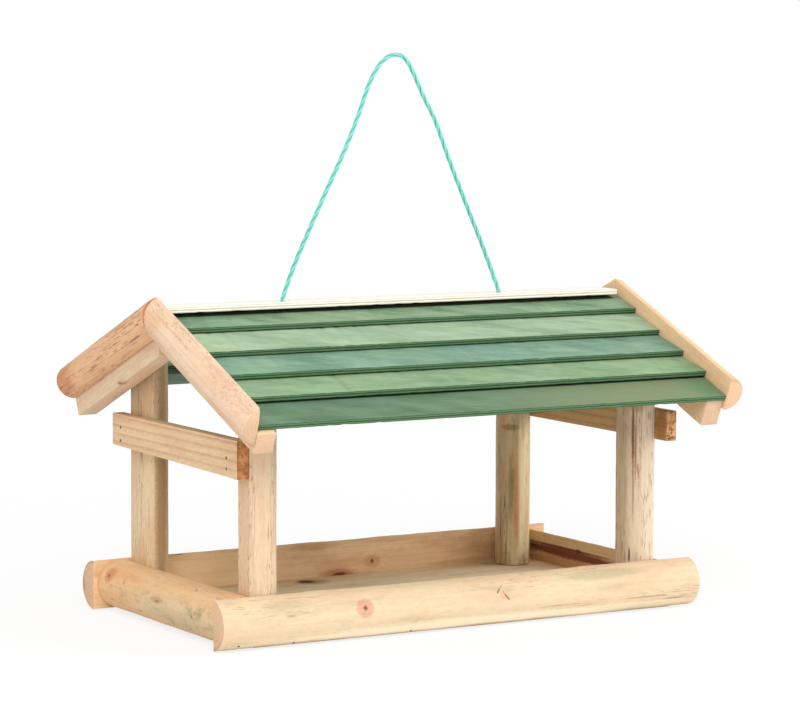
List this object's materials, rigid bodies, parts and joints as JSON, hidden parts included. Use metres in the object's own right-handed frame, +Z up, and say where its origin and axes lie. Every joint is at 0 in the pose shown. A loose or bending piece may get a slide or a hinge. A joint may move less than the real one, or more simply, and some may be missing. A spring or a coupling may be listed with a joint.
{
  "type": "hanging bird table",
  "caption": "Hanging bird table: a half-log tray under a slatted gable roof on half-log posts, with a free cord loop through its ridge.",
  "frame": {"origin": "middle of the table's outline, at the level of the tray's underside", "axes": "+X along the rails and the ridge, to the right seen from the front rail; +Y from the front rail to the back rail; +Z up"},
  "size_m": [0.418, 0.3054, 0.4116],
  "materials": {
    "front_pole": "peeled pale softwood pole",
    "back_pole": "peeled tan softwood pole",
    "end_pole": "peeled orange-tan softwood pole",
    "orange_pole": "peeled orange-pink pole with bark flecks",
    "pale_post": "peeled pale softwood pole",
    "brown_post": "peeled pole with brown bark streaks",
    "floor": "planed softwood board",
    "batten": "sawn softwood batten",
    "grey_green_ply": "grey-green stained three-ply",
    "yellow_green_ply": "yellow-green stained three-ply",
    "dark_green_ply": "dark green stained three-ply",
    "pale_ply": "bare pale three-ply",
    "cord": "turquoise twisted synthetic cord",
    "nail": "dull round wire nail"
  },
  "bodies": {
    "table": {"floor_board": "floor", "front_rail": "front_pole", "back_rail": "back_pole", "left_end_rail": "end_pole", "right_end_rail": "end_pole", "post_left_front": "pale_post", "post_left_back": "brown_post", "post_right_front": "pale_post", "post_right_back": "brown_post", "tie_bar_left": "batten", "tie_bar_right": "batten", "rafter_left_front": "batten", "rafter_left_back": "batten", "rafter_right_front": "batten", "rafter_right_back": "batten", "barge_left_front": "front_pole", "barge_right_front": "front_pole", "barge_left_back": "orange_pole", "barge_right_back": "back_pole", "slat_front_1": "grey_green_ply", "slat_front_2": "yellow_green_ply", "slat_front_3": "grey_green_ply", "slat_front_4": "yellow_green_ply", "slat_front_5": "dark_green_ply", "slat_back_1": "grey_green_ply", "slat_back_2": "yellow_green_ply", "slat_back_3": "grey_green_ply", "slat_back_4": "yellow_green_ply", "slat_back_5": "dark_green_ply", "ridge_strip": "pale_ply", "cord_end_left": "cord", "cord_end_right": "cord", "tie_bar_left_nail_1": "nail", "tie_bar_left_nail_2": "nail", "tie_bar_left_nail_3": "nail", "tie_bar_left_nail_4": "nail", "tie_bar_right_nail_1": "nail", "tie_bar_right_nail_2": "nail", "tie_bar_right_nail_3": "nail", "tie_bar_right_nail_4": "nail", "front_rail_nail_1": "nail", "front_rail_nail_2": "nail", "front_rail_nail_3": "nail", "back_rail_nail_1": "nail", "back_rail_nail_2": "nail", "back_rail_nail_3": "nail"},
    "hanging_loop": {"cord_loop": "cord"}
  },
  "joints": [
    {"name": "loop_swing", "type": "hinge", "parent": "table", "child": "hanging_loop", "pos_m": [0, 0.00379, 0.23388], "axis": [1, 0, 0], "range_deg": [-85, 85]}
  ]
}
